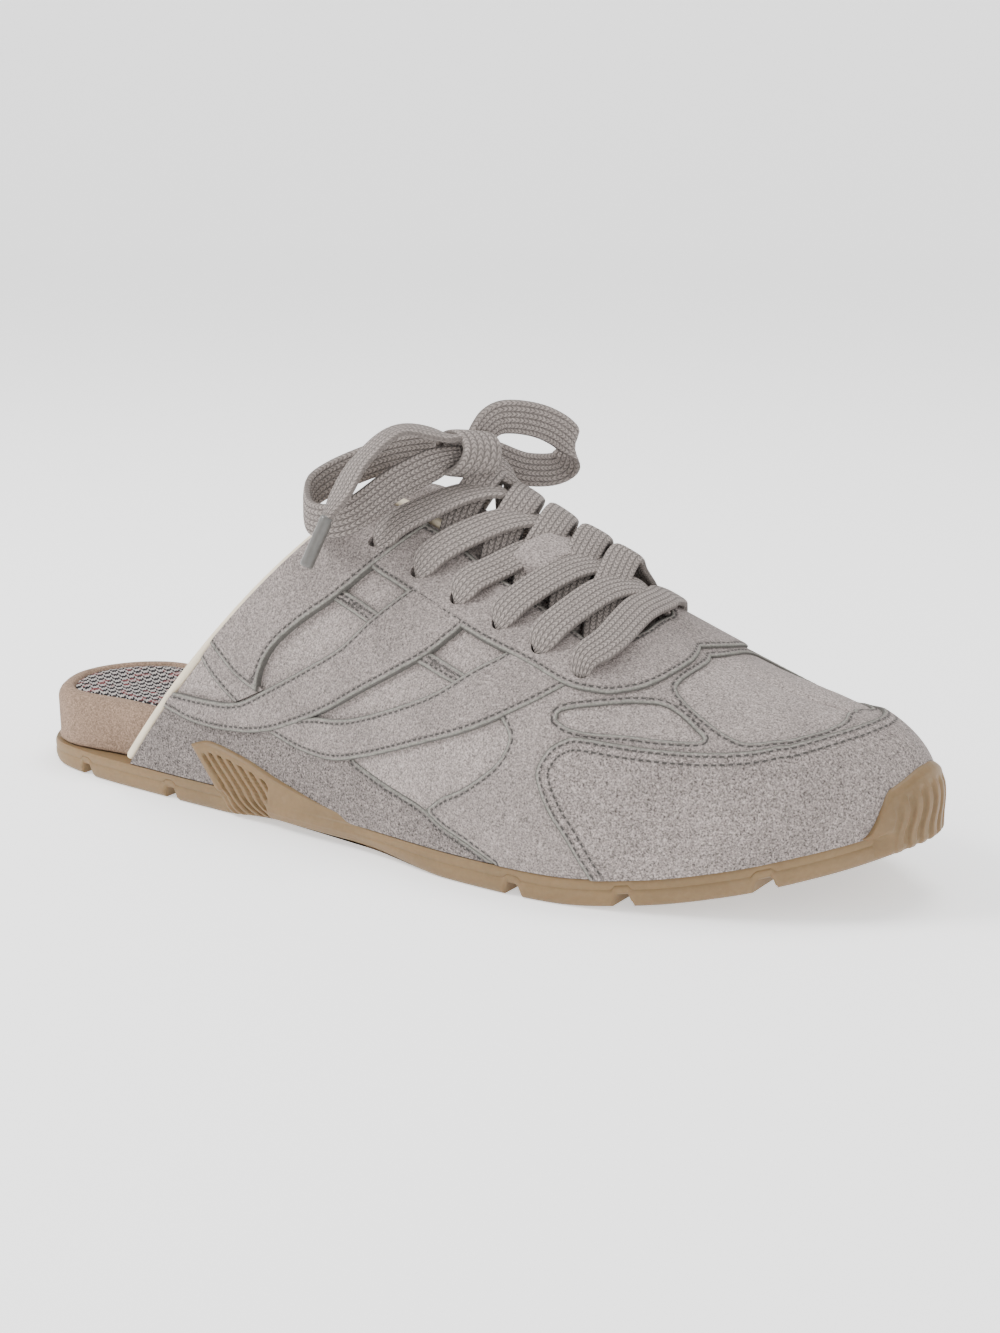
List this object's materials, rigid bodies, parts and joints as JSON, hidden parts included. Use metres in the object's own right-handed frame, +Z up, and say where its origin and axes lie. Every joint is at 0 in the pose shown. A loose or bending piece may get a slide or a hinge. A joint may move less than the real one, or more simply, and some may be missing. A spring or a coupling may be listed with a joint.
{
  "type": "sneaker mule",
  "caption": "Right low lace-up mule: suede upper open at the heel, wrapped footbed, laced tongue with a bow, ribbed gum sole.",
  "frame": {"origin": "on the ground plane, under the middle of the shoe's box measured without the bow and lace ends", "axes": "+X from the heel to the toe, +Y towards the inner (medial) side, +Z up"},
  "size_m": [0.269, 0.0926, 0.1108],
  "materials": {
    "gum": "semi-matt gum rubber, slightly translucent",
    "footbed_suede": "napped suede wrap",
    "checked_cloth": "woven black and white check",
    "upper_suede": "napped grey-taupe suede",
    "overlay_suede": "napped grey-taupe suede with raw edges",
    "cream_binding": "smooth cream leather binding",
    "tongue_suede": "padded napped suede",
    "lace": "flat woven braid",
    "lace_tip": "satin film"
  },
  "bodies": {
    "root": {"outsole": "gum", "footbed": "footbed_suede", "sock_liner": "checked_cloth", "upper": "upper_suede", "eyestay": "overlay_suede", "toe_guard": "overlay_suede", "rear_band_outer": "overlay_suede", "rear_band_inner": "overlay_suede", "front_band_outer": "overlay_suede", "front_band_inner": "overlay_suede", "collar_piping_outer": "cream_binding", "collar_piping_inner": "cream_binding", "tongue": "tongue_suede", "lacing": "lace", "bow_knot": "lace", "bow_loop_outer": "lace", "bow_loop_inner": "lace", "lace_tail_outer": "lace", "lace_tail_inner": "lace", "aglet_outer": "lace_tip", "aglet_inner": "lace_tip"}
  },
  "joints": []
}
